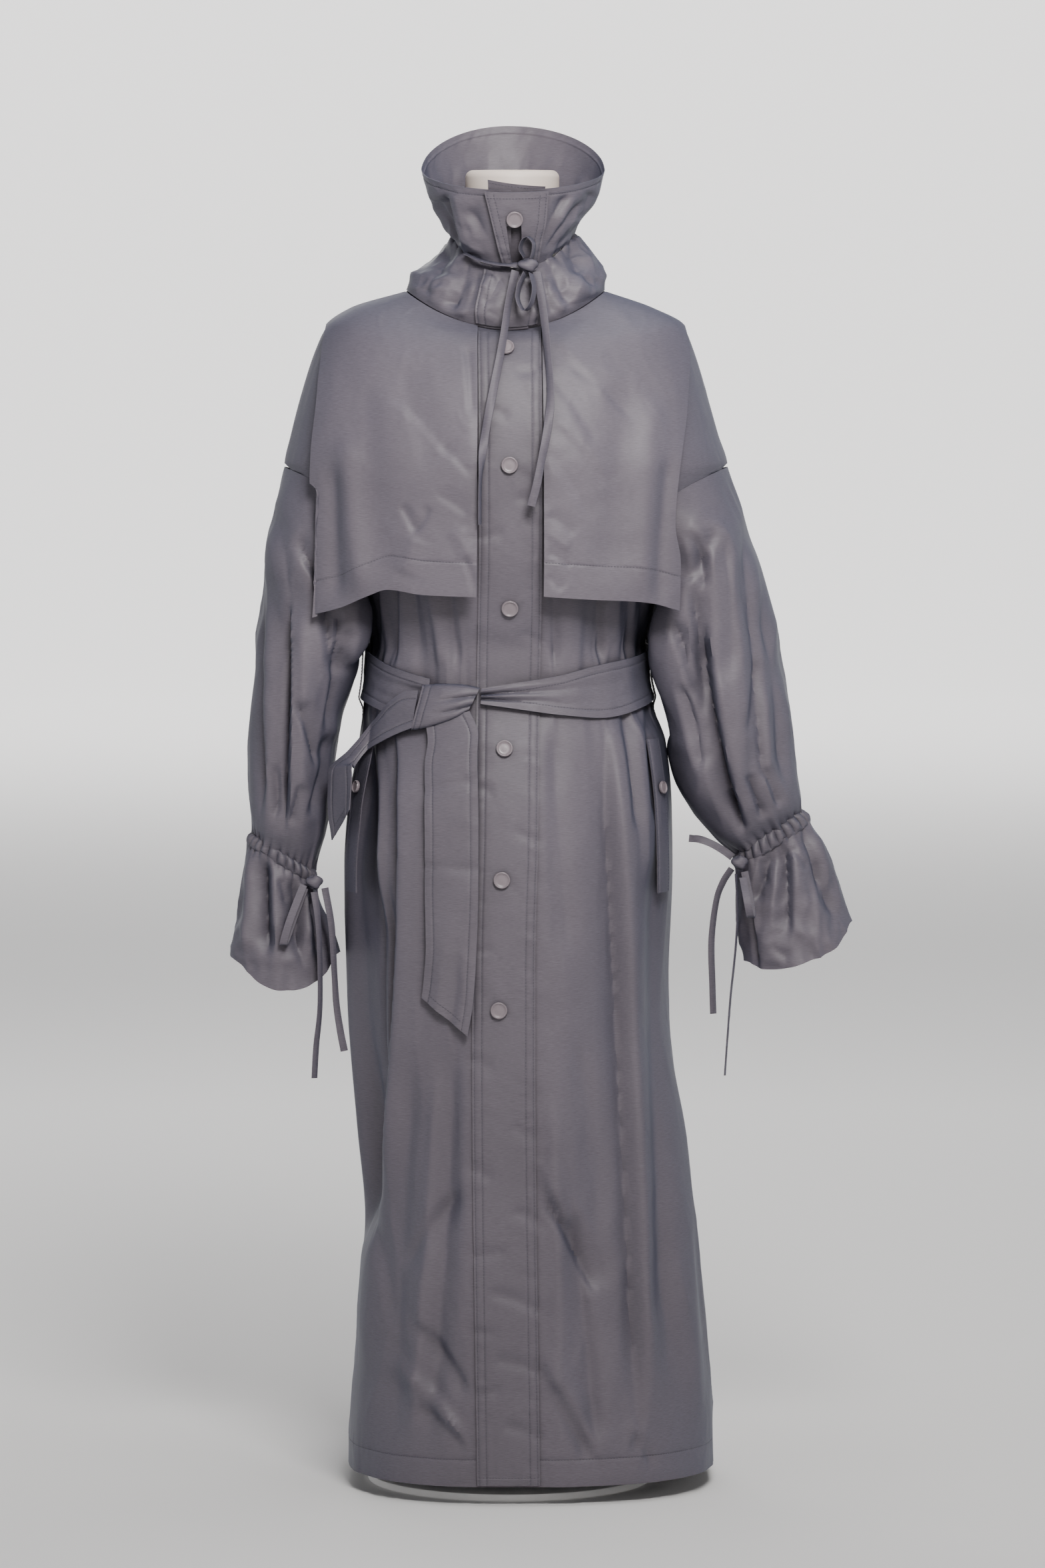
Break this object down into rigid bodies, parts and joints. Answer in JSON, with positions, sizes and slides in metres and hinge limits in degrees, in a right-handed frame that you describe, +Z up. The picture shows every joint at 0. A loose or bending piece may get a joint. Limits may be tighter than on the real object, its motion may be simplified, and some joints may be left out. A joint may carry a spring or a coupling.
{
  "type": "trench coat on a dress form",
  "caption": "Long belted raincoat of silvery cloth with funnel collar, storm flaps and drawcord cuffs, hanging closed on a limbless dress form with a round base.",
  "frame": {"origin": "middle of the stand's underside, where the base disc rests on the floor", "axes": "+Z up, the coat's front faces -Y, +X is the viewer's right, the wearer's left"},
  "size_m": [0.648, 0.351, 1.4239],
  "materials": {
    "cloth": "two-tone taffeta, soft sheen",
    "trim": "doubled and topstitched taffeta",
    "cord": "flat taffeta tape",
    "button": "satin",
    "form": "matte off-white shell",
    "form_cap": "satin off-white cap",
    "steel": "brushed",
    "base": "matte off-white enamel"
  },
  "bodies": {
    "root": {"front_left": "cloth", "front_right": "cloth", "back": "cloth", "placket": "trim", "storm_flap_left": "cloth", "storm_flap_right": "cloth", "sleeve_left": "cloth", "sleeve_right": "cloth", "cuff_casing_left": "trim", "cuff_casing_right": "trim", "cuff_left": "cloth", "cuff_right": "cloth", "collar_lower": "cloth", "collar_upper": "cloth", "collar_placket": "cloth", "collar_placket_low": "cloth", "collar_underlap": "cloth", "belt": "trim", "belt_knot": "trim", "belt_tail_front": "trim", "belt_tail_side": "trim", "belt_loop_left": "trim", "belt_loop_right": "trim", "pocket_welt_left": "trim", "pocket_welt_right": "trim", "button_1": "button", "button_2": "button", "button_3": "button", "button_4": "button", "button_5": "button", "button_6": "button", "button_7": "button", "pocket_button_left": "button", "pocket_button_right": "button", "neck_cord_run": "cord", "neck_cord_knot": "cord", "neck_cord_loop_up": "cord", "neck_cord_loop_low": "cord", "neck_cord_tail_left": "cord", "neck_cord_tail_right": "cord", "cuff_cord_knot_left": "cord", "cuff_cord_loop_left": "cord", "cuff_cord_tail_a_left": "cord", "cuff_cord_tail_b_left": "cord", "cuff_cord_knot_right": "cord", "cuff_cord_stub_right": "cord", "cuff_cord_loop_right": "cord", "cuff_cord_tail_a_right": "cord", "cuff_cord_tail_b_right": "cord", "form_torso": "form", "form_neck_cap": "form_cap", "stand_pole": "steel", "stand_base": "base"}
  },
  "joints": []
}
